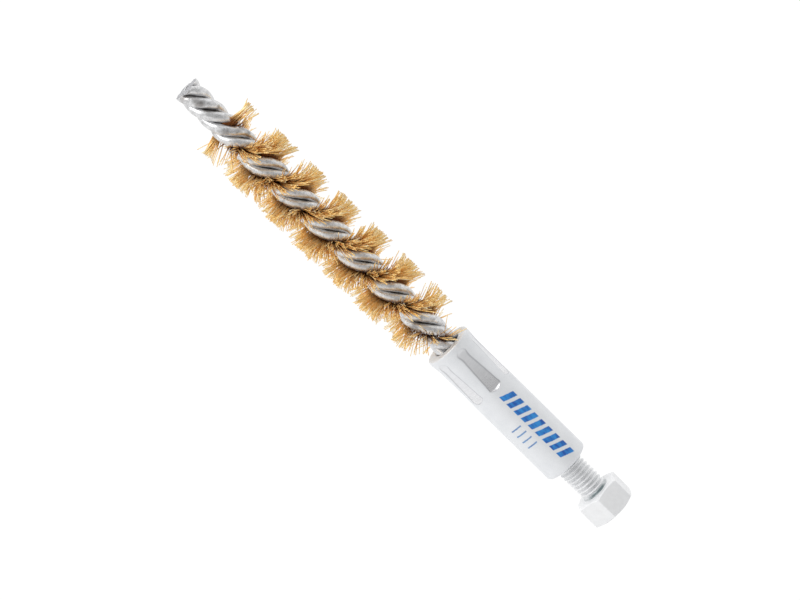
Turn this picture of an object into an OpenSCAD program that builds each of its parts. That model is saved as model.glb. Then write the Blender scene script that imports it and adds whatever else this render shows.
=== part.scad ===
// Twisted-wire tube brush with a crimped collar and a hex-head stud.
// The brush lies along +X. The origin is the centre of the stud head's outer face, and +Z is
// square to one of the head's flats.

/* [Stud] */
// Distance across the flats of the hex head
head_af = 7.94; // [7:0.01:9]
// Height of the hex head
head_h = 4.6; // [3:0.1:5]
// Major diameter of the thread
thread_d = 4.83; // [4.1:0.01:4.9]
// Distance from one thread crest to the next
thread_pitch = 0.794; // [0.7:0.001:1]
// Stud showing between the head and the collar
stud_gap = 7.0; // [5:0.1:10]
// Length of the stud screwed into the collar
stud_in = 9.5; // [6:0.1:10]

/* [Collar] */
// Outer diameter of the collar
collar_d = 8.3; // [7.5:0.05:9]
// Length of the collar
collar_len = 28.85; // [26:0.05:32]
// Diameter of the bore that holds the stem
stem_bore_d = 4.9; // [4.8:0.05:5.2]
// Number of crimp dents around the collar
dent_count = 6; // [4:1:8]
// Distance from the mouth to the near end of the dents
dent_start = 2.1; // [1:0.1:4]
// Length of each dent
dent_len = 8.6; // [6:0.1:10]

/* [Stem] */
// Diameter of each of the four stem wires
wire_d = 1.74; // [1.5:0.01:1.75]
// Length of stem that stands out of the collar
stem_out = 61.75; // [61.75:0.05:64]
// Length of stem held inside the collar
stem_in = 12.6; // [8:0.1:13]
// Length of one full turn of the wires where they lie bare
lay_bare = 12.9; // [12:0.1:16]
// Length of one full turn of the wires among the bristles
lay_brush = 14.93; // [13:0.01:15]
// Turn of the wires about the stem at its cut tip, in degrees
stem_clocking = 110; // [0:1:360]

/* [Bristles] */
// Diameter over the bristle tips
brush_d = 12.7; // [11:0.1:14]
// Bare stem between the cut tip and the first bristles
tip_bare = 8.5; // [7:0.1:10]
// Number of bristle bands, each a quarter turn long
band_count = 14; // [8:1:14]

/* [Hidden] */
wire_count = 4;
$fn = 64;

function wire_name(k) = str("stem_wire_", k);
function band_name(n) = str("bristle_band_", n < 10 ? "0" : "", n);

// Places along the brush, counted from the head's outer face.
collar_x = head_h + stud_gap;
mouth_x = collar_x + collar_len;
tip_x = mouth_x + stem_out;

// Stud
head_corner_d = head_af / cos(30);
head_chamfer = 0.45;
fillet_d = 5.2;
fillet_h = 0.2;
runout_len = 0.5;
thread_depth = 0.6134 * thread_pitch;
crest_w = thread_pitch / 8;
root_w = thread_pitch / 4;
shank_end_chamfer = 0.5;

// Collar
thread_clearance = 0.05;
tapped_depth = stud_in + 1.8;
stem_bore_depth = stem_in + 0.4;
rim_r = 0.5;
mouth_bevel = 0.35;
mouth_edge = 0.15;
dent_near_depth = 0.1;
dent_far_depth = 0.28;
dent_clocking = 20;

// Stem: the wire centres stand at packed_r where the stem is bare and spread to spread_r where the
// bristles hold the two pairs apart. packed_half and spread_half are half of the angle between the
// two wires of a pair.
stem_len = stem_out + stem_in;
packed_r = 1.5;
spread_r = 1.6;
packed_half = 45;
spread_half = 39.5;
spread_over = 2.4;
wire_sides = 10;
rings_per_turn = 20;
ring_count = ceil(stem_len / lay_bare * rings_per_turn);

// Bristle bands
band_pitch = lay_brush / 4;
band_gap = 0.12;
band_len = band_pitch - band_gap;
band_steps = 12;
band_edges = 20;
neck_half = 0.08;
neck_reach = 2.85;
fin_half_angle = 20;
fin_arc_steps = 4;
lay_change = tip_bare + band_pitch;
brush_end = tip_bare + band_count * band_pitch;

// Lays what is drawn along +Z down along +X, with local +X to +Y and local +Y to +Z.
module along_x() {
    rotate([90, 0, 90])
        children();
}

// Smooth step from 0 to 1 as s passes from a to b.
function smooth(s, a, b) =
    let (t = max(0, min(1, (s - a) / (b - a))))
    t * t * (3 - 2 * t);

// How far the bristles hold the pairs apart at distance s from the cut tip, from 0 to 1.
function spread(s) =
    smooth(s, tip_bare - spread_over, tip_bare)
    * (1 - smooth(s, brush_end, brush_end + spread_over / 2));

// Turn of the wire pairs at distance s from the cut tip, in degrees. The lay opens after the first
// bristle band.
function turn(s) =
    stem_clocking + 360 * (min(s, lay_change) / lay_bare + max(s - lay_change, 0) / lay_brush);

// Slope of the turn, in radians per millimetre.
function turn_rate(s) = 2 * PI / (s < lay_change ? lay_bare : lay_brush);

// One ring of a wire: its oval section in the plane square to the stem. The oval is longer round
// the stem than across it, because the wire crosses the plane at a slant.
function wire_ring(k, s) =
    let (
        side = k % 2 == 0 ? 1 : -1,
        half = packed_half + (spread_half - packed_half) * spread(s),
        a = turn(s) + 180 * floor((k - 1) / 2) + side * half,
        r = packed_r + (spread_r - packed_r) * spread(s),
        across = wire_d / 2,
        around = across * sqrt(1 + pow(r * turn_rate(s), 2))
    )
    [
        for (i = [0:wire_sides - 1])
            let (
                p = 360 * i / wire_sides,
                u = r + across * cos(p),
                v = around * sin(p)
            )
            [tip_x - s, u * cos(a) - v * sin(a), u * sin(a) + v * cos(a)]
    ];

module stem_wire(k) {
    points = [for (j = [0:ring_count]) each wire_ring(k, j * stem_len / ring_count)];
    sides = [
        for (j = [0:ring_count - 1], i = [0:wire_sides - 1])
            let (
                a = j * wire_sides + i,
                b = j * wire_sides + (i + 1) % wire_sides
            )
            each [[a, b, b + wire_sides], [a, b + wire_sides, a + wire_sides]]
    ];
    near_cap = [for (i = [wire_sides - 1:-1:0]) i];
    far_cap = [for (i = [0:wire_sides - 1]) ring_count * wire_sides + i];
    color("silver")
        polyhedron(points, concat([near_cap], sides, [far_cap]));
}

// Cross-section of both fins and the neck that joins them between the wire pairs.
module fin_section() {
    fin = [
        [neck_reach, -neck_half],
        for (i = [-fin_arc_steps:fin_arc_steps])
            let (a = fin_half_angle * i / fin_arc_steps)
            brush_d / 2 * [cos(a), sin(a)],
        [neck_reach, neck_half]
    ];
    polygon(concat(fin, -fin));
}

// About one quarter turn of the two bristle fins; n counts from the cut tip, starting at 1.
module bristle_band(n) {
    s = tip_bare + n * band_pitch - band_gap / 2;
    color("goldenrod")
        translate([tip_x - s, 0, 0])
            along_x()
                rotate(turn(s) + 90)
                    linear_extrude(
                        height = band_len,
                        twist = turn(s) - turn(s - band_len),
                        slices = band_steps,
                        $fn = band_edges
                    )
                        fin_section();
}

// Turned collar with a plain bore for the stem, a tapped bore for the stud and a web between them.
module collar() {
    r = collar_d / 2;
    bore_r = stem_bore_d / 2;
    color("gainsboro")
        along_x()
            difference() {
                translate([0, 0, collar_x])
                    rotate_extrude()
                        polygon([
                            [0, 0],
                            [r - rim_r, 0],
                            for (i = [1:6]) [r - rim_r + rim_r * sin(15 * i), rim_r - rim_r * cos(15 * i)],
                            [r, collar_len - mouth_edge],
                            [r - mouth_edge, collar_len],
                            [0, collar_len]
                        ]);
                translate([0, 0, collar_x - 1])
                    cylinder(h = tapped_depth + 1, r = thread_d / 2 + thread_clearance);
                translate([0, 0, mouth_x - stem_bore_depth])
                    cylinder(h = stem_bore_depth + 1, r = bore_r);
                translate([0, 0, mouth_x - mouth_bevel])
                    cylinder(h = 2 * mouth_bevel, r1 = bore_r, r2 = bore_r + 2 * mouth_bevel);
                crimp_dents();
            }
}

// The flats that the crimping jaws press into the collar, deeper towards its middle.
module crimp_dents() {
    slope = atan((dent_far_depth - dent_near_depth) / dent_len);
    for (i = [0:dent_count - 1])
        rotate(dent_clocking + i * 360 / dent_count)
            translate([collar_d / 2 - dent_near_depth, -collar_d / 2, mouth_x - dent_start])
                rotate([0, 180 + slope, 0])
                    mirror([1, 0, 0])
                        cube([collar_d, collar_d, dent_len]);
}

// Hex head with both ends chamfered to a circle, a small fillet under it, and the threaded shank.
module hex_stud() {
    color("whitesmoke")
        along_x() {
            intersection() {
                cylinder(h = head_h, d = head_corner_d, $fn = 6);
                rotate_extrude()
                    polygon([
                        [0, 0],
                        [head_af / 2 - 0.1, 0],
                        [head_corner_d / 2 + 0.05, head_chamfer],
                        [head_corner_d / 2 + 0.05, head_h - head_chamfer],
                        [head_af / 2 - 0.1, head_h],
                        [0, head_h]
                    ]);
            }
            translate([0, 0, head_h])
                cylinder(h = fillet_h, d1 = fillet_d, d2 = thread_d);
            threaded_shank();
        }
}

// The thread is drawn as level rings with the true pitch, depth and flats.
module threaded_shank() {
    root_r = thread_d / 2 - thread_depth;
    crest_r = thread_d / 2;
    start = head_h + runout_len;
    end = collar_x + stud_in;
    turns = floor((end - shank_end_chamfer - start) / thread_pitch);
    flank = (thread_pitch - crest_w - root_w) / 2;
    rotate_extrude()
        polygon([
            [0, head_h - 0.5],
            [crest_r, head_h - 0.5],
            [crest_r, start],
            for (i = [0:turns - 1])
                let (z = start + i * thread_pitch)
                each [
                    [root_r, z + flank],
                    [root_r, z + flank + root_w],
                    [crest_r, z + thread_pitch - crest_w],
                    [crest_r, z + thread_pitch]
                ],
            [crest_r, end - shank_end_chamfer],
            [crest_r - shank_end_chamfer, end],
            [0, end]
        ]);
}

hex_stud();
collar();
for (k = [1:wire_count])
    stem_wire(k);
for (n = [1:band_count])
    bristle_band(n);
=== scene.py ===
"""Looks of the twisted-wire tube brush: stem wires, brass filaments, crimped collar and hex stud."""

import math

import bpy
import numpy as np
from mathutils import Matrix, Vector

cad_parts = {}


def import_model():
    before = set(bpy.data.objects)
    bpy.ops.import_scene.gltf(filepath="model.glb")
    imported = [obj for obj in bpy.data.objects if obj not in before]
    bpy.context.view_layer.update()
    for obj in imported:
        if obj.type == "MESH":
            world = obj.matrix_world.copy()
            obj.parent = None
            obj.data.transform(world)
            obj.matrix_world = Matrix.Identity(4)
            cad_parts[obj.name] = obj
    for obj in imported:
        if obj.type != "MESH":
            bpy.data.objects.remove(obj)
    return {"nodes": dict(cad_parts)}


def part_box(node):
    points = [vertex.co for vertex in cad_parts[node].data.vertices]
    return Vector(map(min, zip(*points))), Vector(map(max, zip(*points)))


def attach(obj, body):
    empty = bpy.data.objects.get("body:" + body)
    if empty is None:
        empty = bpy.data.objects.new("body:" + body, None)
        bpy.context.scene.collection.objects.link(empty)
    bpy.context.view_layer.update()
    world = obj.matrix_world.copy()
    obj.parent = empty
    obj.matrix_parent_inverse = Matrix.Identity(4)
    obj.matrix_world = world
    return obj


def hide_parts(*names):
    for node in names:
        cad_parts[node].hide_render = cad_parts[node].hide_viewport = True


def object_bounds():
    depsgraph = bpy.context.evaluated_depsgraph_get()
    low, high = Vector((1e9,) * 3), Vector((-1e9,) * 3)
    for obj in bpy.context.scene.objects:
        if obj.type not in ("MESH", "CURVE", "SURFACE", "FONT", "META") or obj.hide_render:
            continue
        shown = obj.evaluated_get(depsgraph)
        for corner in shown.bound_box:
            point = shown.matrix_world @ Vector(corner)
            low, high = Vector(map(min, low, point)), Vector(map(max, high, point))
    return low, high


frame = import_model()
cad_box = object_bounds()

MM = 0.001
TAU = 2 * math.pi
rng = np.random.default_rng(7)


# ---------------------------------------------------------------- places, in mm along +X
def span_mm(node):
    """Lowest and highest X of a node, in mm."""
    lo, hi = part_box(node)
    return lo[0] / MM, hi[0] / MM


WIRES = sorted(n for n in frame["nodes"] if n.startswith("stem_wire_"))
BANDS = sorted(n for n in frame["nodes"] if n.startswith("bristle_band_"))
COLLAR_X, MOUTH_X = span_mm("collar")
STEM_X, TIP_X = span_mm(WIRES[0])
SHANK_END_X = span_mm("hex_stud")[1]
COLLAR_R = (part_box("collar")[1][1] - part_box("collar")[0][1]) / MM / 2

# Stem: distances s are counted from the cut tip. The wires run about as they do in the CAD part, but
# where they lie bare they are a little closer and thicker, so that no light shows between them.
WIRE_R = 0.87
BARE_SWELL = 0.03
STEM_LEN = TIP_X - STEM_X
BAND_GAP = 0.12
TIP_BARE = TIP_X - span_mm(BANDS[0])[1] - BAND_GAP / 2
BAND_PITCH = (span_mm(BANDS[0])[0] - span_mm(BANDS[-1])[0]) / (len(BANDS) - 1)
LAY_BARE = 12.9
LAY_BRUSH = 4 * BAND_PITCH
LAY_CHANGE = TIP_BARE + BAND_PITCH
BRUSH_END = TIP_BARE + len(BANDS) * BAND_PITCH
CLOCKING = math.radians(110)
PACKED_R, SPREAD_R = 1.45, 1.6
PACKED_HALF, SPREAD_HALF = math.radians(45), math.radians(39.5)
# The wire pairs part from this far outside the bristles to this far inside them.
PART_OUTSIDE, PART_INSIDE = 0.6, 1.2


def smooth(s, a, b):
    """Smooth step from 0 to 1 as s passes from a to b."""
    t = np.clip((s - a) / (b - a), 0, 1)
    return t * t * (3 - 2 * t)


def soft_min(a, b, k):
    """The smaller of a and b, rounded off where they come within k of each other."""
    h = np.clip(0.5 + 0.5 * (b - a) / k, 0, 1)
    return b * (1 - h) + a * h - k * h * (1 - h)


def unit(v):
    """Each vector at length 1."""
    return v / np.linalg.norm(v, axis=-1, keepdims=True)


def value_noise(x, seed, scale):
    """Smooth random values between -1 and 1 along x, one new value each scale."""
    knot_count = 4096
    knots = np.random.default_rng(seed).uniform(-1, 1, knot_count)
    t = np.asarray(x) / scale + 1000
    i = np.floor(t).astype(int)
    f = smooth(t - i, 0, 1)
    return knots[i % knot_count] * (1 - f) + knots[(i + 1) % knot_count] * f


def spread(s):
    """How far the bristles hold the wire pairs apart, from 0 to 1."""
    opening = smooth(s, TIP_BARE - PART_OUTSIDE, TIP_BARE + PART_INSIDE)
    return opening * (1 - smooth(s, BRUSH_END - PART_INSIDE, BRUSH_END + PART_OUTSIDE))


def turn(s):
    """Turn of the wire pairs about the stem, in radians from +Y towards +Z."""
    bare_turns = np.minimum(s, LAY_CHANGE) / LAY_BARE
    brush_turns = np.maximum(s - LAY_CHANGE, 0) / LAY_BRUSH
    return CLOCKING + TAU * (bare_turns + brush_turns)


def turn_rate(s):
    """Slope of the turn, in radians per mm."""
    return np.where(s < LAY_CHANGE, TAU / LAY_BARE, TAU / LAY_BRUSH)


# ---------------------------------------------------------------- mesh helpers
def build(name, verts_mm, faces, node, body, material, attributes, uv=None):
    """Makes one mesh piece that stands for a CAD node and rides on its body."""
    mesh = bpy.data.meshes.new(name)
    verts = np.asarray(verts_mm, dtype=np.float32) * MM
    sizes = np.array([len(f) for group in faces for f in group], dtype=np.int32)
    loops = np.concatenate([np.asarray(group, dtype=np.int32).ravel() for group in faces])
    mesh.vertices.add(len(verts))
    mesh.vertices.foreach_set("co", verts.ravel())
    mesh.loops.add(len(loops))
    mesh.loops.foreach_set("vertex_index", loops)
    mesh.polygons.add(len(sizes))
    starts = np.concatenate([[0], np.cumsum(sizes)[:-1]]).astype(np.int32)
    mesh.polygons.foreach_set("loop_start", starts)
    mesh.polygons.foreach_set("loop_total", sizes)
    mesh.update(calc_edges=True)
    mesh.validate()
    mesh.shade_smooth()
    for key, values in attributes.items():
        layer = mesh.attributes.new(key, "FLOAT", "POINT")
        layer.data.foreach_set("value", np.asarray(values, dtype=np.float32))
    if uv is not None:
        layer = mesh.uv_layers.new(name="lay")
        index = np.zeros(len(mesh.loops), dtype=np.int32)
        mesh.loops.foreach_get("vertex_index", index)
        layer.data.foreach_set("uv", np.asarray(uv, dtype=np.float32)[index].ravel())
    mesh.materials.append(material)
    piece = bpy.data.objects.new(name, mesh)
    bpy.context.scene.collection.objects.link(piece)
    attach(piece, body)
    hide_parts(node)


def ring_quads(rings, sides):
    """Quads that join each ring of points to the next; the normals face out when rings run along
    the direction about which the points turn by the right-hand rule."""
    i = np.arange(rings - 1)[:, None] * sides
    j = np.arange(sides)[None, :]
    a, b = i + j, i + (j + 1) % sides
    return np.stack([a, b, b + sides, a + sides], axis=-1).reshape(-1, 4)


def fan(centre, ring, flip=False):
    """Triangles from one centre point to a ring of point numbers."""
    tris = np.stack([np.full(len(ring), centre), ring, np.roll(ring, -1)], axis=-1)
    return tris[:, ::-1] if flip else tris


# ---------------------------------------------------------------- materials
# Scale that turns object coordinates into mm.
PER_MM = (1000, 1000, 1000)


class Nodes:
    """Short calls for a material's node tree."""

    def __init__(self, name):
        self.material = bpy.data.materials.new(name)
        self.material.use_nodes = True
        self.tree = self.material.node_tree
        self.tree.nodes.clear()
        self.shader = self.tree.nodes.new("ShaderNodeBsdfPrincipled")
        out = self.tree.nodes.new("ShaderNodeOutputMaterial")
        self.link(self.shader.outputs["BSDF"], out.inputs["Surface"])

    def link(self, a, b):
        self.tree.links.new(a, b)

    def put(self, value, socket):
        """Links an output to the socket, or sets the socket's own value."""
        if hasattr(value, "is_output"):
            self.link(value, socket)
        else:
            socket.default_value = value

    def node(self, kind, inputs, **settings):
        made = self.tree.nodes.new("ShaderNode" + kind)
        for key, value in settings.items():
            setattr(made, key, value)
        for key, value in inputs.items():
            self.put(value, made.inputs[key])
        return made

    def set(self, **values):
        for key, value in values.items():
            self.put(value, self.shader.inputs[key.replace("_", " ")])

    def coords(self, scale):
        place = self.node("TexCoord", {}).outputs["Object"]
        return self.node("Mapping", {"Vector": place, "Scale": scale}).outputs["Vector"]

    def lay_coords(self, scale):
        """Coordinates along a wire and round it."""
        place = self.node("UVMap", {}, uv_map="lay").outputs["UV"]
        return self.node("Mapping", {"Vector": place, "Scale": scale}).outputs["Vector"]

    def noise(self, vector, scale, detail, roughness):
        inputs = {"Vector": vector, "Scale": scale, "Detail": detail, "Roughness": roughness}
        return self.node("TexNoise", inputs).outputs["Fac"]

    def ramp(self, fac, stops):
        made = self.node("ValToRGB", {"Fac": fac})
        elements = made.color_ramp.elements
        while len(elements) < len(stops):
            elements.new(0.5)
        for element, (at, colour) in zip(elements, stops, strict=True):
            element.position = at
            element.color = (*colour, 1)
        return made.outputs["Color"]

    def remap(self, value, a, b, c, d):
        inputs = {"Value": value, "From Min": a, "From Max": b, "To Min": c, "To Max": d}
        return self.node("MapRange", inputs).outputs["Result"]

    def math(self, operation, a, b=0.0):
        return self.node("Math", {0: a, 1: b}, operation=operation).outputs["Value"]

    def mix(self, fac, a, b, blend="MIX"):
        """Mixes two colours; sockets 0, 6 and 7 are the factor and the colours A and B."""
        a, b = (c if hasattr(c, "is_output") else (*c, 1) for c in (a, b))
        return self.node("Mix", {0: fac, 6: a, 7: b}, data_type="RGBA", blend_type=blend).outputs[2]

    def bump(self, height, strength, distance):
        inputs = {"Height": height, "Strength": strength, "Distance": distance}
        return self.node("Bump", inputs).outputs["Normal"]

    def attribute(self, name):
        return self.node("Attribute", {}, attribute_name=name).outputs["Fac"]


def stem_steel():
    """Galvanised wire: drawing lines along it, grey spangle, a few dark stains, a dull torn cut."""
    m = Nodes("stem_steel")
    along = m.lay_coords((0.12, 3.0, 1.0))
    solid = m.coords(PER_MM)
    lines = m.noise(along, 6.0, 4.0, 0.6)
    spangle = m.noise(solid, 1.6, 3.0, 0.6)
    specks = m.noise(solid, 7.0, 2.0, 0.5)
    stains = m.noise(solid, 0.42, 2.0, 0.5)
    base = m.ramp(spangle, [(0.3, (0.56, 0.56, 0.565)), (0.7, (0.84, 0.84, 0.845))])
    speck = m.ramp(specks, [(0.34, (0.50, 0.49, 0.49)), (0.45, (1, 1, 1))])
    stain = m.ramp(stains, [(0.31, (0.46, 0.435, 0.42)), (0.45, (1, 1, 1))])
    worn = m.mix(0.9, m.mix(0.7, base, speck, "MULTIPLY"), stain, "MULTIPLY")
    torn = m.ramp(specks, [(0.35, (0.30, 0.30, 0.31)), (0.62, (0.62, 0.62, 0.64))])
    cut = m.attribute("cut")
    rough = m.remap(lines, 0.3, 0.7, 0.24, 0.34)
    bumps = m.math("ADD", lines, specks)
    m.set(
        Base_Color=m.mix(cut, worn, torn),
        Metallic=0.92,
        Roughness=m.math("ADD", rough, m.math("MULTIPLY", cut, 0.2)),
        Normal=m.bump(bumps, 0.3, 0.04 * MM),
    )
    return m.material


def brass():
    """Brass filament: golden, with painted shade turning it dark brown at the root, and a little
    darker at the cut end.
    """
    m = Nodes("brass_filament")
    tone = m.noise(m.coords(PER_MM), 0.8, 2.0, 0.5)
    tones = [(0.0, (1.0, 0.61, 0.18)), (0.5, (1.0, 0.75, 0.33)), (1.0, (1.0, 0.92, 0.66))]
    golden = m.ramp(m.attribute("tint"), tones)
    # The root end of this ramp is painted shade, where the filaments lie crowded between the wires.
    root_to_end = [
        (0.39, (0.24, 0.10, 0.035)),
        (0.65, (1.0, 0.88, 0.72)),
        (0.85, (1, 1, 1)),
        (0.94, (1, 1, 1)),
        (0.99, (0.94, 0.85, 0.74)),
    ]
    root_shade_and_end_tone = m.ramp(m.attribute("reach"), root_to_end)
    shade = m.ramp(tone, [(0.3, (0.96, 0.92, 0.87)), (0.7, (1, 1, 1))])
    m.set(
        Base_Color=m.mix(0.6, m.mix(1.0, golden, root_shade_and_end_tone, "MULTIPLY"), shade, "MULTIPLY"),
        Metallic=0.58,
        Roughness=m.remap(tone, 0.3, 0.7, 0.32, 0.46),
    )
    return m.material


# The collar's print: a row of slanting bars and a row of thin ticks. Each row has its angle about X
# from +Y towards +Z, where it starts and ends along the brush, the share of its pitch that is ink,
# how much its bars slant and how soft their edges are.
BARS = {
    "at": math.radians(85.5),
    "half_height": 1.25,
    "start": 13.2,
    "end": 28.6,
    "count": 9,
    "inked": 0.62,
    "slant": 0.45,
    "edge": 0.06,
}
TICKS = {
    "at": math.radians(42),
    "half_height": 1.05,
    "start": 18.2,
    "end": 23.4,
    "count": 4,
    "inked": 0.2,
    "slant": 0.0,
    "edge": 0.05,
}
# How far the ink's edges wander.
PRINT_WOBBLE = 0.16


def printed_row(m, along, angle, at, half_height, start, end, count, inked, slant, edge):
    """Mask of a row of evenly spaced printed bars, each slanting across the row."""
    arc_mm = m.math("MULTIPLY", m.math("SUBTRACT", angle, at), COLLAR_R)
    pitch = (end - start) / count
    leaning = m.math("ADD", along, m.math("MULTIPLY", arc_mm, slant))
    phase = m.math("FRACT", m.math("DIVIDE", m.math("SUBTRACT", leaning, start), pitch))
    from_bar = m.math("MULTIPLY", m.math("ABSOLUTE", m.math("SUBTRACT", phase, 0.5)), pitch)
    from_middle = m.math("ABSOLUTE", m.math("SUBTRACT", leaning, (start + end) / 2))

    def within(distance, half):
        return m.remap(distance, half - edge, half + edge, 1, 0)

    bar = within(from_bar, inked * pitch / 2)
    height = within(m.math("ABSOLUTE", arc_mm), half_height)
    inside = within(from_middle, (end - start) / 2)
    return m.math("MULTIPLY", m.math("MULTIPLY", bar, height), inside)


def collar_metal():
    """Tumbled satin collar: pale, faintly mottled, with burnished darker dents, painted shade along
    their edges and a blue print.
    """
    m = Nodes("collar_metal")
    solid = m.coords(PER_MM)
    mottle = m.noise(solid, 0.5, 4.0, 0.6)
    grain = m.noise(solid, 6.0, 3.0, 0.6)
    rubbed = m.noise(m.coords((2200, 500, 500)), 1.6, 3.0, 0.6)
    pale = m.ramp(mottle, [(0.3, (0.785, 0.80, 0.82)), (0.7, (0.835, 0.848, 0.866))])
    pits = m.ramp(grain, [(0.35, (0.82, 0.82, 0.84)), (0.6, (1, 1, 1))])
    pale = m.mix(0.25, pale, pits, "MULTIPLY")
    worn = m.ramp(rubbed, [(0.3, (0.71, 0.71, 0.725)), (0.7, (0.81, 0.81, 0.825))])
    dent = m.attribute("dent")
    metal = m.mix(dent, pale, worn)
    # Painted shade: a dark line along each dent's edge.
    metal = m.mix(m.attribute("rim"), metal, (0.42, 0.43, 0.45))

    place = m.node("SeparateXYZ", {"Vector": solid})
    wobble = m.math("SUBTRACT", m.noise(solid, 2.2, 2.0, 0.5), 0.5)
    along = m.math("ADD", place.outputs["X"], m.math("MULTIPLY", wobble, PRINT_WOBBLE))
    angle = m.math("ARCTAN2", place.outputs["Z"], place.outputs["Y"])
    bars = printed_row(m, along, angle, **BARS)
    ticks = printed_row(m, along, angle, **TICKS)
    ink_tone = m.noise(m.coords((500, 1500, 1500)), 0.9, 2.0, 0.5)
    ink = m.ramp(ink_tone, [(0.35, (0.004, 0.085, 0.40)), (0.65, (0.02, 0.26, 0.68))])
    thin_ink = m.ramp(ink_tone, [(0.35, (0.06, 0.19, 0.46)), (0.65, (0.12, 0.30, 0.58))])
    printed = m.mix(m.math("MULTIPLY", bars, 0.97), metal, ink)
    printed = m.mix(m.math("MULTIPLY", ticks, 0.9), printed, thin_ink)

    bare = m.math("SUBTRACT", 1, m.math("MAXIMUM", bars, ticks))
    burnished = m.math("ADD", 0.3, m.math("MULTIPLY", dent, 0.65))
    rough = m.remap(grain, 0.3, 0.7, 0.42, 0.52)
    unpressed = m.math("SUBTRACT", 1, m.math("MULTIPLY", dent, 0.9))
    m.set(
        Base_Color=printed,
        Specular_IOR_Level=0.2,
        Metallic=m.math("MULTIPLY", burnished, bare),
        Roughness=m.math("SUBTRACT", rough, m.math("MULTIPLY", dent, 0.2)),
        Normal=m.bump(m.math("MULTIPLY", grain, unpressed), 0.25, 0.03 * MM),
    )
    return m.material


HEAD_AF = 7.94
HEAD_H = 4.6
THREAD_R = 2.415
THREAD_PITCH = 0.794
THREAD_DEPTH = 0.487


def stud_steel():
    """Pale zinc plating, with painted shade in the thread roots and where the neck meets the head.
    """
    m = Nodes("stud_steel")
    solid = m.coords(PER_MM)
    mottle = m.noise(solid, 0.9, 4.0, 0.6)
    grain = m.noise(solid, 9.0, 3.0, 0.6)
    zinc = m.ramp(mottle, [(0.3, (0.84, 0.845, 0.855)), (0.7, (0.90, 0.905, 0.915))])
    blotches = m.noise(solid, 0.7, 2.0, 0.5)
    # Painted shade: a dark teal tone in the thread roots, at the neck and round the head's outer
    # edge, broken into blotches.
    painted_shade_mask = m.math("MULTIPLY", m.attribute("painted_shade"), m.remap(blotches, 0.35, 0.6, 0.5, 1.0))
    along = m.node("SeparateXYZ", {"Vector": solid}).outputs["X"]
    m.set(
        Base_Color=m.mix(painted_shade_mask, zinc, (0.14, 0.19, 0.20)),
        Metallic=m.remap(along, HEAD_H, HEAD_H + 0.2, 0.25, 0.65),
        Roughness=m.remap(grain, 0.3, 0.7, 0.42, 0.56),
        Normal=m.bump(grain, 0.25, 0.03 * MM),
    )
    return m.material


# ---------------------------------------------------------------- stem wires
WIRE_SIDES = 28
RINGS_PER_MM = 3.2
# Sizes of the rings across the cut face, from its middle to its slightly rounded edge, and how far
# behind it the wire has its full size.
CUT_RINGS = np.array([0.04, 0.3, 0.55, 0.78, 0.93, 0.985])
CUT_EDGE = 0.1
# The wire is pressed thinner here and there by up to this share, in places this far apart.
PINCH, PINCH_EVERY = 0.012, 2.5
PINCH_SEED = 40
# The tip is sheared off unevenly, and the stem behind it is drawn along over SHEAR_REACH.
SHEAR_REACH = 1.2
SHEAR_DEPTH = 0.32
BURR_AT = math.radians(155)
BURR_H = 0.16
STEM_R = 2.2
CROWN = 0.20
TORN_SEED = 71


def sheared(y, z):
    """How far the sheared tip lies behind the longest point, over its face: a burr stands at one
    side, and the rest is torn and falls away a little towards its rim."""
    across = (y * math.cos(BURR_AT) + z * math.sin(BURR_AT)) / STEM_R
    burr = BURR_H * smooth(across, 0.6, 1.0)
    coarse = 0.06 * value_noise(y * 1.7 + z * 0.9, TORN_SEED, 0.45)
    fine = 0.05 * value_noise(z * 1.9 - y * 0.7, TORN_SEED + 1, 0.38)
    crown = CROWN * (y * y + z * z) / 4.8
    return np.clip(SHEAR_DEPTH + crown - burr + (coarse + fine), 0, 1)


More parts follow.
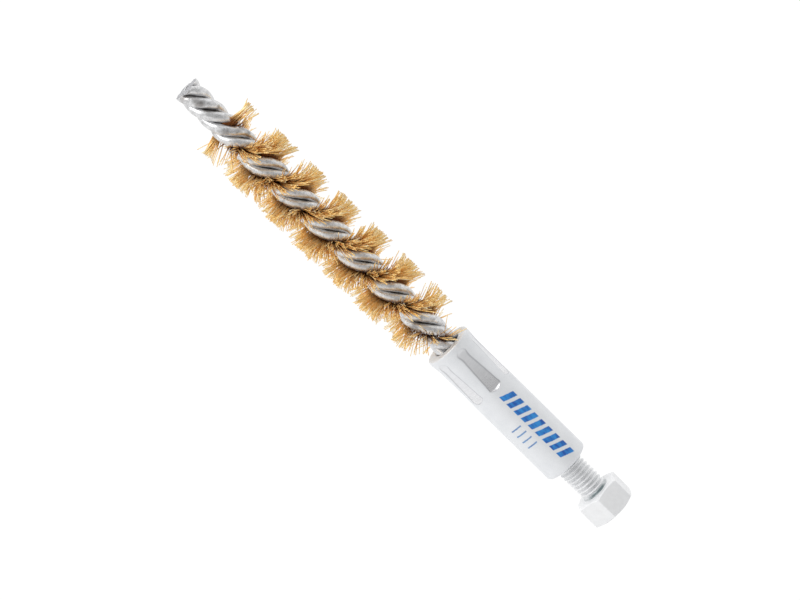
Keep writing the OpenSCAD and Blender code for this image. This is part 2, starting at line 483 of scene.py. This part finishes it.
def stem_wire(k, node, material):
    """Wire k, counted from 1: wires 1 and 2 make one pair, 3 and 4 the other."""
    body_s = np.linspace(0, STEM_LEN, int(STEM_LEN * RINGS_PER_MM))[1:]
    s = np.concatenate([0 * CUT_RINGS, [CUT_EDGE], body_s])
    shrink = np.concatenate([CUT_RINGS, np.ones(len(s) - len(CUT_RINGS))])
    side = 1 if k % 2 == 0 else -1
    half = PACKED_HALF + (SPREAD_HALF - PACKED_HALF) * spread(s)
    a = turn(s) + math.pi * ((k - 1) // 2) + side * half
    r = PACKED_R + (SPREAD_R - PACKED_R) * spread(s)
    across = WIRE_R + BARE_SWELL * (1 - spread(s))
    around = across * np.sqrt(1 + (r * turn_rate(s)) ** 2)
    p = np.linspace(0, TAU, WIRE_SIDES, endpoint=False)
    pinch = shrink * (1 - PINCH * value_noise(s, PINCH_SEED + k, PINCH_EVERY) ** 2)
    u = r[:, None] + (across * pinch)[:, None] * np.cos(p)[None, :]
    v = (around * pinch)[:, None] * np.sin(p)[None, :]
    y = u * np.cos(a)[:, None] - v * np.sin(a)[:, None]
    z = u * np.sin(a)[:, None] + v * np.cos(a)[:, None]
    drawn = np.clip(1 - s / SHEAR_REACH, 0, 1)[:, None]
    x = (TIP_X - s)[:, None] - sheared(y, z) * drawn
    verts = np.stack([x, y, z], axis=-1).reshape(-1, 3)
    n = len(verts)
    tip_centre = verts[:WIRE_SIDES].mean(axis=0)
    end_centre = verts[-WIRE_SIDES:].mean(axis=0)
    verts = np.concatenate([verts, [tip_centre, end_centre]])
    quads = ring_quads(len(s), WIRE_SIDES)[:, ::-1]
    first_ring = np.arange(WIRE_SIDES)
    caps = np.concatenate([fan(n, first_ring), fan(n + 1, n - WIRE_SIDES + first_ring, True)])
    length = s / np.cos(np.arctan(r * turn_rate(s)))
    uv = np.stack([np.repeat(length, WIRE_SIDES), np.tile(p, len(s))], axis=-1)
    uv = np.concatenate([uv, [[0, 0], [STEM_LEN, 0]]])
    cut = np.concatenate([np.repeat(np.clip((1 - shrink) * 30, 0, 1), WIRE_SIDES), [1, 0]])
    faces = [quads, caps]
    build(f"wire_{k}", verts, faces, node, "brush", material, {"cut": cut}, uv)


# ---------------------------------------------------------------- bristles
FILAMENT_R = 0.062
FILAMENT_R_VARIES = 0.15
FILAMENT_SIDES = 6
FILAMENTS_PER_BAND = 180
# Each filament lies in the slot between the wire pairs, this far to either side of its middle. It
# runs straight out to SLOT_KNEE and turns its own way from LEAVE_AT.
SLOT_HALF = 0.24
SLOT_KNEE = 0.75
LEAVE_AT = 1.3
# Its way leans square to the slot by LEAN, and along the slot towards the collar by SWEPT_BACK.
# Single filaments differ from that by up to SPLAY and FAN_HALF, and a little more at random.
LEAN, LEAN_VARIES = math.radians(26), 0.06
SPLAY = math.radians(22)
SWEPT_BACK = math.radians(22)
FAN_HALF = math.radians(28)
# The first filaments are loose: they splay less and are swept round the stem.
LOOSE_LEN = 1.2
LOOSE_CLOSES = 0.75
LOOSE_SWEEP = 1.4
LOOSE_TILT = math.radians(12)
# Those in the last stretch before the collar are swept back less.
LAST_LEN = 6
LAST_TILT = math.radians(15)
# Locks: each filament is drawn towards the nearest of a few leading ones, as locks of hair are.
LOCKS_PER_SIDE = 18
LOCK_PULL = 0.45
# The tuft at the tip end is drawn together, on each side of the stem by its own share, round a point
# that is moved along +X by so many mm.
TUFT_LEN = 1.7
TUFT_PULL = {1: 0.55, -1: 0.45}
TUFT_SHIFT = {1: 0.45, -1: -2.6}
# The collar's face keeps the filaments this far out.
MOUTH_CLEAR = 0.6
# The brush is trimmed to TRIM_R, but a few filaments are longer or shorter.
TRIM_R, TRIM_VARIES, LONGEST_R = 5.8, 0.10, 6.3
LONG_SHARE, LONG_BY = 0.03, (0.1, 0.35)
SHORT_SHARE, SHORT_BY = 0.06, (0.3, 1.3)
# Shares of a filament's free length at which it has a point, and how much it bends on the way.
FREE_STEPS = (0.0, 0.1, 0.24, 0.42, 0.62, 0.82, 1.0)
BEND, WAVE = 0.12, 0.02
ROOT_SWING = 0.18


def reach_to(start, way, radius):
    """Length from each start along its way to the cylinder of this radius about the stem."""
    a = (way[:, 1:] ** 2).sum(axis=1)
    b = 2 * (start[:, 1:] * way[:, 1:]).sum(axis=1)
    c = (start[:, 1:] ** 2).sum(axis=1) - radius**2
    return (-b + np.sqrt(b * b - 4 * a * c)) / (2 * a)


def gathered_ends(s0, ends, sigma):
    """The filaments' ends, drawn together into locks and, at the tip end, into a tuft."""
    n = len(s0)
    leaders = ends[rng.choice(n, min(n, LOCKS_PER_SIDE), replace=False)]
    gaps = np.linalg.norm(ends[:, None] - leaders[None], axis=2)
    pull = LOCK_PULL * rng.uniform(0.4, 1.2, n)
    ends = ends + (leaders[gaps.argmin(axis=1)] - ends) * pull[:, None]
    tuft = s0 < TIP_BARE + TUFT_LEN
    if tuft.any():
        centre = ends[tuft].mean(axis=0) + np.array([TUFT_SHIFT[sigma], 0, 0])
        ends[tuft] += (centre - ends[tuft]) * TUFT_PULL[sigma]
    ends[:, 0] = np.maximum(ends[:, 0], MOUTH_X + MOUTH_CLEAR)
    return ends


def filament_side(s0, h, sigma):
    """Points of one half of each filament, from its middle outwards. s0 is where it leaves the stem,
    h its place across the slot, and sigma 1 or -1 the side of the stem."""
    n = len(s0)
    f = turn(s0) + math.pi / 2
    to_collar = np.tile([-1.0, 0, 0], (n, 1))
    fin = sigma * np.stack([0 * f, np.cos(f), np.sin(f)], axis=-1)
    tang = sigma * np.stack([0 * f, -np.sin(f), np.cos(f)], axis=-1)
    slant = math.atan(SPREAD_R * TAU / LAY_BRUSH)
    across = math.cos(slant) * tang - math.sin(slant) * to_collar
    along = math.sin(slant) * tang + math.cos(slant) * to_collar

    loose = np.clip(1 - (s0 - TIP_BARE) / LOOSE_LEN, 0, 1)
    held = 1 - LOOSE_CLOSES * loose
    last = smooth(s0, BRUSH_END - LAST_LEN, BRUSH_END)
    theta = LEAN + SPLAY * sigma * h / SLOT_HALF * held + rng.normal(0, LEAN_VARIES, n)
    psi = SWEPT_BACK + FAN_HALF * rng.uniform(-1, 1, n) * held
    psi += LOOSE_TILT * loose - LAST_TILT * last
    sweep = (LOOSE_SWEEP * loose)[:, None] * tang
    way = unit(fin + across * np.tan(theta)[:, None] + along * np.tan(psi)[:, None] + sweep)

    shift = (sigma * h)[:, None] * tang
    base = np.stack([TIP_X - s0, 0 * s0, 0 * s0], axis=-1)
    start = base + fin * LEAVE_AT + shift
    ends = gathered_ends(s0, start + way * reach_to(start, way, TRIM_R)[:, None], sigma)
    way = unit(ends - start)
    trim = TRIM_R + rng.normal(0, TRIM_VARIES, n)
    trim = np.where(rng.random(n) < LONG_SHARE, trim + rng.uniform(*LONG_BY, n), trim)
    trim = np.where(rng.random(n) < SHORT_SHARE, trim - rng.uniform(*SHORT_BY, n), trim)
    length = reach_to(start, way, np.minimum(trim, LONGEST_R))

    bend_way = rng.normal(0, 1, (n, 3))
    bend_way = unit(bend_way - way * (bend_way * way).sum(axis=1)[:, None])
    bend = rng.normal(0, BEND, n)
    wave = rng.normal(0, WAVE, n)
    points = [base + shift, base + fin * SLOT_KNEE + shift]
    for t in FREE_STEPS:
        swing = (fin - way) * ROOT_SWING * math.exp(-t * 8)
        off = bend * t * (t - 1) * 1.6 + wave * np.sin(t * 9 + s0 * 3)
        points.append(start + way * (length * t)[:, None] + bend_way * off[:, None] + swing)
    return np.stack(points, axis=1)


def fullness(s):
    """Share of the filaments that are there. The brush starts with a tuft and a thin stretch, and it
    thins out towards the collar."""
    d = s - TIP_BARE
    first = 0.12 + 0.60 * (1 - smooth(d, 1.3, 1.8)) + 0.88 * smooth(d, 3.2, 5.2)
    left = BRUSH_END - s
    return first * (0.16 + 0.55 * smooth(left, 5, 11) + 0.29 * smooth(left, 1.5, 5))


def bristles(index, node, material):
    """The filaments of one quarter turn, each a thin tube from end to end."""
    s0 = TIP_BARE + index * BAND_PITCH + rng.random(FILAMENTS_PER_BAND) * BAND_PITCH
    s0 = s0[rng.random(FILAMENTS_PER_BAND) < fullness(s0)]
    h = rng.uniform(-SLOT_HALF, SLOT_HALF, len(s0))
    one = filament_side(s0, h, 1)
    two = filament_side(s0, h, -1)
    paths = np.concatenate([two[:, :0:-1], one], axis=1)
    n, point_count = paths.shape[:2]
    step = unit(np.gradient(paths, axis=1))
    n1 = unit(np.cross(step, [1.0, 0, 0]))
    n2 = np.cross(step, n1)
    p = np.linspace(0, TAU, FILAMENT_SIDES, endpoint=False)
    radius = FILAMENT_R * rng.uniform(1 - FILAMENT_R_VARIES, 1 + FILAMENT_R_VARIES, n)
    ring = n1[:, :, None] * np.cos(p)[:, None] + n2[:, :, None] * np.sin(p)[:, None]
    verts = (paths[:, :, None] + ring * radius[:, None, None, None]).reshape(-1, 3)

    per = point_count * FILAMENT_SIDES
    offsets = (np.arange(n) * per)[:, None, None]
    quads = (ring_quads(point_count, FILAMENT_SIDES)[None] + offsets).reshape(-1, 4)
    first = np.arange(FILAMENT_SIDES)[::-1]
    last = per - FILAMENT_SIDES + np.arange(FILAMENT_SIDES)
    caps = (np.stack([first, last])[None] + offsets).reshape(-1, FILAMENT_SIDES)
    attributes = {
        "reach": np.linalg.norm(verts[:, 1:], axis=1) / TRIM_R,
        "tint": np.repeat(np.clip(rng.normal(0.55, 0.22, n), 0, 1), per),
    }
    name = f"bristles_{index + 1:02d}"
    faces = [quads, caps]
    build(name, verts, faces, node, "brush", material, attributes)


# ---------------------------------------------------------------- turned parts
def turned(name, profile, angles, radius_at, node, body, material, attributes):
    """A closed surface round the X axis: profile rows are (x, r), and radius_at(x, r, angle)
    gives each point's true radius. The first and last rows close to a point on the axis."""
    rows = np.asarray(profile, dtype=float)
    x = np.repeat(rows[:, :1], len(angles), axis=1)
    at = (rows[:, :1], rows[:, 1:], angles[None, :])
    r = radius_at(*at)
    verts = np.stack([x, r * np.cos(angles)[None], r * np.sin(angles)[None]], axis=-1).reshape(-1, 3)
    n = len(verts)
    verts = np.concatenate([verts, [[rows[0, 0], 0, 0], [rows[-1, 0], 0, 0]]])
    first_ring = np.arange(len(angles))
    last_ring = n - len(angles) + first_ring
    faces = [
        ring_quads(len(rows), len(angles)),
        np.concatenate([fan(n, first_ring, True), fan(n + 1, last_ring)]),
    ]
    values = {
        key: np.concatenate([np.broadcast_to(function(*at), x.shape).ravel(), [0, 0]])
        for key, function in attributes.items()
    }
    build(name, verts, faces, node, body, material, values)


def line(a, b, count):
    """Points from a towards b, b left out."""
    t = np.arange(count)[:, None] / count
    return np.asarray(a) * (1 - t) + np.asarray(b) * t


def arc(centre, radius, start, end, count):
    """Points on an arc in the (x, r) plane, angles in degrees, the last left out."""
    t = np.radians(start + (end - start) * np.arange(count) / count)
    return np.stack([centre[0] + radius * np.cos(t), centre[1] + radius * np.sin(t)], axis=-1)


# Profiles start and end this close to the axis.
AXIS_R = 0.01

# Collar: its bores and its bevelled and rounded edges.
BORE_R, BORE_DEPTH = 2.45, 13.0
TAPPED_R, TAPPED_DEPTH = 2.465, 11.3
TAPPED_BEVEL = 0.3
BACK_EDGE_R = 0.5
MOUTH_EDGE_R = 0.3
MOUTH_BEVEL_R = 0.35
CRIMPED_LEN = 12.5
COLLAR_SIDES = 240
# The crimp: its dents, and how the collar narrows at them and flares at the mouth. Places are
# counted from the mouth.
DENT_COUNT = 6
DENT_FIRST = math.radians(20)
DENT_NEAR, DENT_FAR = 1.4, 10.3
DENT_HOLLOW = 0.8
DENT_DEPTH_NEAR, DENT_DEPTH_FAR = 0.17, 0.37
DENT_BLEND = 0.035
RAMP_OUTSIDE, RAMP_INSIDE, RAMP_RISE = 0.8, 0.6, 0.3
FAR_WALL_LEN, FAR_WALL_SLOPE = 0.35, 0.75
FAR_ROUND, FAR_ROUND_HALF = 0.18, 0.30
WAIST, MOUTH_FLARE = 0.07, 0.12


def dent_floor(x, angle):
    """Radius of the floor that the nearest crimping jaw presses in at this place."""
    step = TAU / DENT_COUNT
    off = (angle - DENT_FIRST + step / 2) % step - step / 2
    d = MOUTH_X - x
    t = np.clip((d - DENT_NEAR) / (DENT_FAR - DENT_NEAR), 0, 1)
    depth = DENT_DEPTH_NEAR + (DENT_DEPTH_FAR - DENT_DEPTH_NEAR) * t
    near_ramp = RAMP_RISE * (1 - smooth(d, DENT_NEAR - RAMP_OUTSIDE, DENT_NEAR + RAMP_INSIDE))
    far_round = FAR_ROUND * np.clip(1 - (off / FAR_ROUND_HALF) ** 2, 0, 1)
    far_wall = np.maximum(0, d - (DENT_FAR - FAR_WALL_LEN + far_round)) * FAR_WALL_SLOPE
    return (COLLAR_R - (depth - near_ramp - far_wall)) * (1 + DENT_HOLLOW * off**2)


def crimped_r(x):
    """How much the crimping draws in the collar along its length; it is negative where it flares."""
    d = MOUTH_X - x
    waist = WAIST * smooth(d, 0.6, 3.5) * (1 - smooth(d, 8.5, 12))
    return waist - MOUTH_FLARE * (1 - smooth(d, 0.2, 3.0))


def dent_depth(x, angle):
    """How far below the collar's face the floor of the nearest dent lies."""
    return COLLAR_R - crimped_r(x) - dent_floor(x, angle)


def on_outside(x, r):
    """Whether a profile point is on the collar's outer face, its rounded edges included."""
    return (r > COLLAR_R - 0.6) & (x > COLLAR_X)


def collar_r(x, r, angle):
    """True radius of the collar's surface, whose outer face is crimped and dented."""
    full = r - crimped_r(x) + 0 * angle
    dented = soft_min(full, dent_floor(x, angle) + (r - COLLAR_R), DENT_BLEND)
    return np.where(on_outside(x, r), dented, r + 0 * angle)


def burnish(x, r, angle):
    """Where the dents are burnished, more so away from the mouth."""
    pressed = np.clip(dent_depth(x, angle) / 0.03, 0, 1)
    inward = np.clip((MOUTH_X - x - DENT_NEAR) / (DENT_FAR - DENT_NEAR), 0, 1)
    return np.where(on_outside(x, r), pressed * (0.35 + 0.65 * inward), 0)


def dent_rim_shade(x, r, angle):
    """Painted shade: a dark line round each dent's edge, fading out towards the mouth."""
    depth = dent_depth(x, angle)
    rim = smooth(depth, -0.02, 0.02) * (1 - smooth(depth, 0.04, 0.10))
    inward = smooth(MOUTH_X - x, DENT_NEAR - 0.6, DENT_NEAR + 1.2)
    return np.where(on_outside(x, r), 0.7 * rim * inward, 0)


def collar(material):
    tapped_end = COLLAR_X + TAPPED_DEPTH
    bore_end = MOUTH_X - BORE_DEPTH
    crimped_from = MOUTH_X - CRIMPED_LEN
    edge, bevel = MOUTH_EDGE_R, MOUTH_BEVEL_R
    profile = np.concatenate([
        line((tapped_end, AXIS_R), (tapped_end, TAPPED_R), 6),
        line((tapped_end, TAPPED_R), (COLLAR_X + TAPPED_BEVEL, TAPPED_R), 60),
        line((COLLAR_X + TAPPED_BEVEL, TAPPED_R), (COLLAR_X, TAPPED_R + TAPPED_BEVEL), 4),
        line((COLLAR_X, TAPPED_R + TAPPED_BEVEL), (COLLAR_X, COLLAR_R - BACK_EDGE_R), 8),
        arc((COLLAR_X + BACK_EDGE_R, COLLAR_R - BACK_EDGE_R), BACK_EDGE_R, 180, 90, 8),
        line((COLLAR_X + BACK_EDGE_R, COLLAR_R), (crimped_from, COLLAR_R), 60),
        line((crimped_from, COLLAR_R), (MOUTH_X - edge, COLLAR_R), 190),
        arc((MOUTH_X - edge, COLLAR_R - edge), edge, 90, 0, 6),
        line((MOUTH_X, COLLAR_R - edge), (MOUTH_X, BORE_R + bevel), 10),
        arc((MOUTH_X - bevel, BORE_R + bevel), bevel, 0, -90, 5),
        line((MOUTH_X - bevel, BORE_R), (bore_end, BORE_R), 20),
        [(bore_end, BORE_R), (bore_end, AXIS_R)],
    ])
    angles = np.linspace(0, TAU, COLLAR_SIDES, endpoint=False)
    attributes = {"dent": burnish, "rim": dent_rim_shade}
    turned("collar_body", profile, angles, collar_r, "collar", "brush", material,
           attributes)


# Stud: the profile of its head is cut by the hexagon, so it stands a little outside it.
FACET = math.pi / 3
FACET_STEPS = 32
APOTHEM = HEAD_AF / 2
CORNER_R = APOTHEM / math.cos(FACET / 2)
BLANK_R = CORNER_R + 0.3
FACE_R, UNDERSIDE_R = APOTHEM - 0.12, APOTHEM - 0.15
HEAD_BEVEL = 0.5
NECK_FILLET = 0.18
END_BEVEL = 0.5
# Where the thread reaches its full depth, counted from the head.
RUNOUT_FROM, RUNOUT_TO = 0.25, 0.9


def stud_r(x, r, angle):
    """True radius of the stud's surface: hexagon, fillet, thread and bevelled end."""
    off = angle % FACET - FACET / 2
    hexagon = soft_min(APOTHEM / np.cos(off), CORNER_R - 0.03, 0.05)
    head = soft_min(r + 0 * angle, hexagon, 0.03)
    phase = (x / THREAD_PITCH + angle / TAU) % 1
    tooth = np.clip(np.abs(phase - 0.5) * 2 * 1.6 - 0.35, 0, 1)
    fade = smooth(x, HEAD_H + RUNOUT_FROM, HEAD_H + RUNOUT_TO)
    chamfer = np.maximum(0, x - (SHANK_END_X - END_BEVEL - 0.05))
    thread = THREAD_R - THREAD_DEPTH * fade * (1 - tooth)
    shank = np.minimum(np.minimum(thread, THREAD_R - chamfer), r)
    below_head = np.where(x < HEAD_H + NECK_FILLET, r + 0 * angle, shank)
    return np.where(x <= HEAD_H + 1e-6, head, below_head)


def stud_painted_shade(x, r, angle):
    """Painted shade in the thread's roots, at the neck, more on the side at 80 degrees, and, thinly,
    round the head's outer edge.
    """
    on_shank = (x > HEAD_H) & (r < THREAD_R + 0.2)
    depth = (THREAD_R - stud_r(x, r, angle)) / THREAD_DEPTH
    roots = 0.14 * smooth(depth, 0.35, 0.95) * (x < SHANK_END_X - END_BEVEL)
    # The neck's painted shade is heavier on the side that faces 80 degrees about the axis.
    upper = smooth(np.cos(angle - math.radians(80)), 0.2, 0.95)
    neck = (0.35 + 0.6 * upper) * (1 - smooth(x, HEAD_H + 0.25, HEAD_H + 0.75))
    # A thin painted shadow line round the head's outer edge.
    rim = 0.5 * (1 - smooth(x, 0.03, 0.12)) * (r > APOTHEM - 0.2)
    return np.where(on_shank, np.maximum(roots, neck), rim)


def stud(material):
    shank_start = HEAD_H + NECK_FILLET
    profile = np.concatenate([
        line((0, AXIS_R), (0, FACE_R), 8),
        line((0, FACE_R), (HEAD_BEVEL, BLANK_R), 18),
        line((HEAD_BEVEL, BLANK_R), (HEAD_H - HEAD_BEVEL, BLANK_R), 14),
        line((HEAD_H - HEAD_BEVEL, BLANK_R), (HEAD_H, UNDERSIDE_R), 18),
        line((HEAD_H, UNDERSIDE_R), (HEAD_H, THREAD_R + NECK_FILLET), 10),
        arc((shank_start, THREAD_R + NECK_FILLET), NECK_FILLET, 180, 270, 5),
        line((shank_start, THREAD_R), (SHANK_END_X, THREAD_R), 420),
        [(SHANK_END_X, THREAD_R - END_BEVEL), (SHANK_END_X, AXIS_R)],
    ])
    # The points of each facet stand closer together towards its corners.
    q = np.linspace(-1, 1, FACET_STEPS, endpoint=False)
    q = 0.6 * q + 0.4 * np.sin(q * math.pi / 2)
    angles = np.concatenate([FACET / 2 + FACET * i + q * FACET / 2 for i in range(6)])
    turned("stud", profile, angles, stud_r, "hex_stud", "stud", material,
           {"painted_shade": stud_painted_shade})


# ---------------------------------------------------------------- stage, lights, camera
# The floor lies a little above the lowest point of the CAD part, so that the bristles touch it.
FLOOR_HALF, FLOOR_LIFT = 3000, 0.35
# The view is from above, turned round the brush to +Y and leaning to the tip, with the brush running
# down to the right. The camera aims at a point beside the brush's middle, along the brush and then
# right and up in the picture.
VIEW_TURN = math.radians(19.5)
VIEW_LEAN = math.radians(13.5)
VIEW_SLOPE = math.radians(44.46)
VIEW_WIDTH = 132
LENS, SENSOR = 250, 36
AIM_ALONG, AIM_RIGHT, AIM_UP = 0.45, -0.0263, -0.1887
# Lights stand so many mm right, up and back from the brush's middle, as the picture shows it. The
# tent's dim side lies in a direction that is given in the same way.
LIGHTS = {
    "key": {"place": (-200, 140, 200), "size": (240, 120), "radiance": 3.4},
    "low": {"place": (-182.1, -185.6, 90), "size": (240, 45), "radiance": 0.12},
}
TENT_DIM_WAY = (0.45, 0.12, 1.0)
TENT_WHITE, TENT_DIM = 1.0, 0.5
# Cosines of the angles from that way at which the tent is still white and wholly dim.
TENT_FADE = (0.45, 0.95)


def floor_material():
    m = Nodes("pale_floor")
    fine = m.noise(m.coords((1, 1, 1)), 40.0, 2.0, 0.5)
    m.set(
        Base_Color=m.ramp(fine, [(0.3, (0.095, 0.095, 0.095)), (0.7, (0.105, 0.105, 0.105))]),
        Roughness=0.8,
        Specular_IOR_Level=0.0,
        Emission_Color=(1, 1, 1, 1),
        Emission_Strength=0.96,
    )
    return m.material


def floor():
    half, z = FLOOR_HALF, cad_box[0][2] / MM + FLOOR_LIFT
    mesh = bpy.data.meshes.new("floor")
    corners = [(-half, -half, z), (half, -half, z), (half, half, z), (-half, half, z)]
    mesh.from_pydata([Vector(c) * MM for c in corners], [], [(0, 1, 2, 3)])
    mesh.materials.append(floor_material())
    obj = bpy.data.objects.new("floor", mesh)
    bpy.context.scene.collection.objects.link(obj)


def picture_axes():
    """Directions to the right, up and back towards the camera."""
    side = Vector((0, math.sin(VIEW_TURN), math.cos(VIEW_TURN)))
    back = side * math.cos(VIEW_LEAN) + Vector((math.sin(VIEW_LEAN), 0, 0))
    from_tip = -(Vector((1, 0, 0)) - back * back.x).normalized()
    beside = back.cross(from_tip)
    right = from_tip * math.cos(VIEW_SLOPE) + beside * math.sin(VIEW_SLOPE)
    up = -from_tip * math.sin(VIEW_SLOPE) + beside * math.cos(VIEW_SLOPE)
    return right, up, back


RIGHT, UP, BACK = picture_axes()
MIDDLE = Vector((TIP_X / 2, 0, 0))


def in_picture(right, up, back):
    """A vector given along the picture's right, up and back directions."""
    return BACK * back + RIGHT * right + UP * up


def camera():
    data = bpy.data.cameras.new("camera")
    data.lens, data.sensor_width = LENS, SENSOR
    data.clip_start, data.clip_end = 0.01, 20
    distance = VIEW_WIDTH * LENS / SENSOR
    place = MIDDLE + Vector((AIM_ALONG, 0, 0)) + in_picture(AIM_RIGHT, AIM_UP, distance)
    axes = Matrix((RIGHT, UP, BACK)).transposed().to_4x4()
    obj = bpy.data.objects.new("camera", data)
    obj.matrix_world = Matrix.Translation(place * MM) @ axes
    bpy.context.scene.collection.objects.link(obj)
    bpy.context.scene.camera = obj


def area_light(name, place, size, radiance):
    """A soft box whose face has this radiance, aimed at the brush's middle."""
    data = bpy.data.lights.new(name, "AREA")
    data.shape = "RECTANGLE"
    data.size, data.size_y = size[0] * MM, size[1] * MM
    data.energy = radiance * math.pi * data.size * data.size_y
    from_middle = in_picture(*place)
    obj = bpy.data.objects.new(name, data)
    obj.location = (MIDDLE + from_middle) * MM
    obj.rotation_mode = "QUATERNION"
    obj.rotation_quaternion = (-from_middle).normalized().to_track_quat("-Z", "Y")
    bpy.context.scene.collection.objects.link(obj)


def world():
    """A white tent that is open, and so dimmer, around one direction."""
    w = bpy.data.worlds.new("studio")
    w.use_nodes = True
    tree = w.node_tree
    place = tree.nodes.new("ShaderNodeTexCoord")
    dot = tree.nodes.new("ShaderNodeVectorMath")
    dot.operation = "DOT_PRODUCT"
    dot.inputs[1].default_value = in_picture(*TENT_DIM_WAY).normalized()
    tree.links.new(place.outputs["Generated"], dot.inputs[0])
    fade = tree.nodes.new("ShaderNodeMapRange")
    fade.interpolation_type = "SMOOTHSTEP"
    fade.inputs["From Min"].default_value, fade.inputs["From Max"].default_value = TENT_FADE
    fade.inputs["To Min"].default_value = TENT_WHITE
    fade.inputs["To Max"].default_value = TENT_DIM
    tree.links.new(dot.outputs["Value"], fade.inputs["Value"])
    background = tree.nodes["Background"]
    background.inputs["Color"].default_value = (1, 1, 1, 1)
    tree.links.new(fade.outputs["Result"], background.inputs["Strength"])
    bpy.context.scene.world = w
    bpy.context.scene.view_settings.view_transform = "Standard"


# ---------------------------------------------------------------- assembly
steel, filament = stem_steel(), brass()
for k, wire in enumerate(WIRES, start=1):
    stem_wire(k, wire, steel)
for i, band in enumerate(BANDS):
    bristles(i, band, filament)
collar(collar_metal())
stud(stud_steel())
floor()
camera()
world()
for name, light in LIGHTS.items():
    area_light(name, **light)
